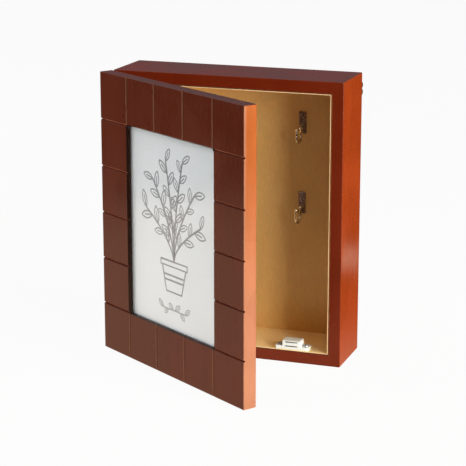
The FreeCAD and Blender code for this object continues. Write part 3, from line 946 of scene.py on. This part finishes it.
drawing = {                           # millimetres on the card, from the middle of the window
    "stroke": 1.8, "leafStroke": 1.3, "thick": 0.02,
    "mouth": -24.0,                   # where the stems leave the pot
    "stems": [(-40, 40), (-30, 66), (-11, 84), (13, 86), (30, 62), (38, 36)],
    "bend": 1.7,
    "steps": 24,
    "leafLength": 15.0, "leafWidth": 6.0, "leafSpacing": 8.5, "leafAngle": 0.72,
    "belly": 0.45, "vein": 0.7,       # where a leaf is widest, and how far its vein runs
    "leafSizes": (0.72, 1.05), "arcSteps": 12,
    "bare": 0.3,                      # the share of each stem without leaves
    "potTop": 17.0, "potFoot": 11.0, "potTall": 22.0, "rim": 4.5, "rimOut": 2.0,
    "bands": (0.35, 0.55),            # two lines round the pot
    "seed": 11,
}
smallSprig = {                        # the straight one below the pot
    "stroke": 1.0, "leafStroke": 0.9,
    "leafLength": 8.5, "leafWidth": 3.8, "leafSpacing": 6.5, "bare": 0.1,
    "height": -66.0, "reach": 16.0, "steps": 8,
}


def ribbonOf(tree, curve, width):
    flat = tree.node("GeometryNodeSetCurveNormal", {"mode": "Z_UP"}, {0: curve})
    size = {"Width": width, "Height": tree["Thickness"]}
    profile = tree.node("GeometryNodeCurvePrimitiveQuadrilateral", None, size)
    swept = {"Curve": flat, "Profile Curve": profile, "Fill Caps": True}
    return tree.node("GeometryNodeCurveToMesh", None, swept)


def inkTree():                        # a flat ribbon along each line of the seed
    tree = Growth("inkLine", {"Width": "Float", "Thickness": "Float"})
    curve = tree.node("GeometryNodeMeshToCurve", None, {0: tree["Geometry"]})
    return tree.end(ribbonOf(tree, curve, tree["Width"]))


def sprigTree():                      # stems as ribbons, with outlined leaves to the left and right
    inputs = [
        "Width", "Leaf Stroke", "Thickness", "Leaf Length", "Leaf Width", "Spacing", "Angle", "Bare",
    ]
    tree = Growth("leafySprig", {**dict.fromkeys(inputs, "Float"), "Seed": "Int"})
    curve = tree.node("GeometryNodeMeshToCurve", None, {0: tree["Geometry"]})
    stems = ribbonOf(tree, curve, tree["Width"])
    half = tree["Leaf Length"] * drawing["belly"]
    tip = tree.vector(tree["Leaf Length"])
    sides = []
    for side in (0.5, -0.5):
        middle = tree.vector(half, tree["Leaf Width"] * side)
        points = {"Start": tree.vector(), "Middle": middle, "End": tip}
        arc = {"Resolution": drawing["arcSteps"], **points}
        sides.append(tree.node("GeometryNodeCurveArc", {"mode": "POINTS"}, arc))
    ends = {"Start": tree.vector(), "End": tree.vector(tree["Leaf Length"] * drawing["vein"])}
    vein = tree.node("GeometryNodeCurvePrimitiveLine", None, ends)
    leaf = ribbonOf(tree, tree.joined(*sides, vein), tree["Leaf Stroke"])
    kept = {"Curve": curve, 2: tree["Bare"], 3: 1.0}
    leafy = tree.node("GeometryNodeTrimCurve", {"mode": "FACTOR"}, kept)
    apart = {"Curve": leafy, "Length": tree["Spacing"]}
    spots = tree.node("GeometryNodeCurveToPoints", {"mode": "LENGTH"}, apart)
    tangent = spots.beside("Tangent")
    x, y = [tree.node("ShaderNodeSeparateXYZ", None, {0: tangent}, axis) for axis in range(2)]
    side = tree.node("GeometryNodeInputIndex").maths("MODULO", 2.0) * 2 - 1
    angle = y.maths("ARCTAN2", x) + side * tree["Angle"]
    turned = tree.node("FunctionNodeEulerToRotation", None, {0: tree.vector(0.0, 0.0, angle)})
    smallest, largest = drawing["leafSizes"]
    between = {2: smallest, 3: largest, "Seed": tree["Seed"]}
    size = tree.node("FunctionNodeRandomValue", {"data_type": "FLOAT"}, between, 1)
    places = {
        "Points": spots, "Instance": leaf, "Rotation": turned,
        "Scale": tree.vector(size, size, 1.0),
    }
    leaves = tree.node("GeometryNodeInstanceOnPoints", None, places)
    return tree.end(tree.joined(stems, leaves))


def lines(name, routes):              # a seed mesh of flat open lines, from lists of points in millimetres
    points, edges = [], []
    for route in routes:
        start = len(points)
        points += [(x * millimetre, y * millimetre, 0) for x, y in route]
        edges += [(start + i, start + i + 1) for i in range(len(route) - 1)]
    mesh = bpy.data.meshes.new(name)
    mesh.from_pydata(points, edges, [])
    return mesh


def stemRoute(reach, tall):
    route = []
    for i in range(drawing["steps"] + 1):
        share = i / drawing["steps"]
        route.append((reach * share ** drawing["bend"], drawing["mouth"] + tall * share))
    return route


def potRoutes():
    top = drawing["mouth"]
    shoulder = top - drawing["rim"]
    foot = shoulder - drawing["potTall"]
    wide, narrow = drawing["potTop"], drawing["potFoot"]
    lip = wide + drawing["rimOut"]
    rim = [(-lip, top), (lip, top), (lip, shoulder), (-lip, shoulder), (-lip, top)]
    body = [(-wide, shoulder), (-narrow, foot), (narrow, foot), (wide, shoulder)]
    routes = [rim, body]
    for share in drawing["bands"]:
        half = wide + (narrow - wide) * share
        height = shoulder - drawing["potTall"] * share
        routes.append([(-half, height), (half, height)])
    return routes


def twigRoutes():
    steps = smallSprig["steps"]
    routes = []
    for side in (-1, 1):
        step = side * smallSprig["reach"] / steps
        routes.append([(step * i, smallSprig["height"]) for i in range(steps + 1)])
    return routes


def inkInputs(plan):
    return {
        "Width": plan["stroke"] * millimetre,
        "Thickness": plan["thick"] * millimetre,
        "Material": ink,
    }


def sprigInputs(plan):
    return {
        **inkInputs(plan),
        "Leaf Stroke": plan["leafStroke"] * millimetre,
        "Leaf Length": plan["leafLength"] * millimetre,
        "Leaf Width": plan["leafWidth"] * millimetre,
        "Spacing": plan["leafSpacing"] * millimetre,
        "Angle": plan["leafAngle"],
        "Bare": plan["bare"],
        "Seed": plan["seed"],
    }


def addPrint():
    low, high = shutBox("door_frame")
    face = shutBox("picture_card")[0].y + card["gap"] - drawing["thick"] * millimetre
    place = Matrix.Translation((0, face, (low.z + high.z) / 2)) @ Matrix.Rotation(math.pi / 2, 4, "X")
    sprig = sprigTree()
    stems = lines("stems", [stemRoute(reach, tall) for reach, tall in drawing["stems"]])
    twig = lines("twig", twigRoutes())
    pot = lines("pot", potRoutes())
    parts = {
        "printedLeaves": sprig.grow("printedLeaves", stems, sprigInputs(drawing)),
        "printedTwig": sprig.grow("printedTwig", twig, sprigInputs({**drawing, **smallSprig})),
        "printedPot": inkTree().grow("printedPot", pot, inkInputs(drawing)),
    }
    for name, mesh in parts.items():
        mesh.transform(place)
        addPiece(name, mesh, "door", "card_print", ink)


addPiece("cardSheet", cardSheet(), "door", "card_print", paper, ["picture_card"])
addPrint()
print("card printed")


# Floor, world and lamps

studio = {
    "floorSize": 16.0,
    "world": 0.06,                    # the plain light from all round
    "mirrored": {                     # how bright gloss sees the room, level and above
        "low": 0.16, "high": 1.0, "from": 0.35, "to": 0.6,
    },
    "floorGlow": 0.95,                # how much of the floor's white is its own
    "bounce": 0.95,                   # how brightly it lights the piece from below
    "matt": (0.7, 0.7, 0.7, 1),       # what is left to take the shadow
    "warmth": (1.0, 0.8, 0.62, 1),    # of the floor as gloss sees it, in these pools of light
    "pools": [
        {"x": -0.28, "y": -0.12, "near": 0.3, "far": 0.5, "strength": 0.9},
        {"x": 0.212, "y": 0.316, "near": 0.02, "far": 0.08, "strength": 0.85},
    ],
    "aim": (0, 0, 0.12),              # what the lamps point at
    "lamps": {
        "keyLamp": {
            "place": (1.57, -0.835, 0.40), "size": (1.1, 0.9), "watts": 75.0,
            "warmth": (1.0, 0.95, 0.88), "mirrored": True,
        },
        "leftLamp": {
            "place": (-1.6, -0.15, 0.4), "size": (2.6, 1.4), "watts": 22.0,
            "warmth": (1.0, 0.98, 0.96), "mirrored": False,
        },
        "topLamp": {
            "place": (-0.05, -0.3, 1.7), "size": (0.5, 0.5), "watts": 2.0,
            "warmth": (0.96, 0.97, 1.0), "mirrored": False,
        },
    },
}


def rayKinds(shade):                  # rays that look or pass through, and rays that mirror
    kinds = ("Is Camera Ray", "Is Glossy Ray", "Is Transmission Ray")
    look, mirror, through = [shade.node("ShaderNodeLightPath", output=kind) for kind in kinds]
    return look.atLeast(through), mirror


def poolLight(shade):                 # the bright rounds on the floor that gloss sees
    x, y, z = shade.split(shade.place())
    pools = []
    for pool in studio["pools"]:
        across, along = x - pool["x"], y - pool["y"]
        away = (across * across + along * along) ** 0.5
        pools.append(away.ramp(pool["near"], pool["far"], pool["strength"], 0.0))
    return sum(pools)


def addFloor():
    half = studio["floorSize"] / 2
    corners = [(-half, -half, 0), (half, -half, 0), (half, half, 0), (-half, half, 0)]
    mesh = bpy.data.meshes.new("studioFloor")
    mesh.from_pydata(corners, [], [(0, 1, 2, 3)])
    floor = bpy.data.objects.new("studioFloor", mesh)
    scene.collection.objects.link(floor)
    shade = Shade("whiteSweep")
    lit = poolLight(shade)
    look, mirror = rayKinds(shade)
    matt = shade.node("ShaderNodeBsdfDiffuse", None, {"Color": studio["matt"]})
    tint = shade.mix(mirror, (1, 1, 1, 1), studio["warmth"])
    plain = look.ramp(0.0, 1.0, studio["bounce"], 1.0)
    strength = shade.node("ShaderNodeMix", None, {0: mirror, 2: plain, 3: lit})
    glow = shade.node("ShaderNodeEmission", None, {"Color": tint, "Strength": strength})
    share = look * (studio["floorGlow"] - 1) + 1
    white = shade.node("ShaderNodeMixShader", None, {0: share, 1: matt, 2: glow})
    mesh.materials.append(shade.close(white))


def addWorld():
    scene.world = bpy.data.worlds.new("studioWorld")
    shade = Shade("studioWorld", scene.world)
    look, mirror = rayKinds(shade)
    height = shade.split(shade.node("ShaderNodeTexCoord", output="Generated"))[2]
    seen = studio["mirrored"]
    room = height.ramp(seen["from"], seen["to"], seen["low"], seen["high"])
    strength = studio["world"] + look * (1 - studio["world"]) + mirror * (room - studio["world"])
    light = shade.node("ShaderNodeBackground", None, {"Color": (1, 1, 1, 1), "Strength": strength})
    shade.node("ShaderNodeOutputWorld", None, {0: light})


def addLamps():
    target = Vector(studio["aim"])
    for name, plan in studio["lamps"].items():
        lamp = bpy.data.lights.new(name, "AREA")
        lamp.shape = "RECTANGLE"
        lamp.size, lamp.size_y = plan["size"]
        lamp.energy = plan["watts"]
        lamp.color = plan["warmth"]
        holder = bpy.data.objects.new(name, lamp)
        holder.visible_glossy = plan["mirrored"]
        holder.location = plan["place"]
        holder.rotation_euler = (target - holder.location).to_track_quat("-Z", "Y").to_euler()
        scene.collection.objects.link(holder)


addFloor()
addWorld()
addLamps()
print("floor, world and lamps set")
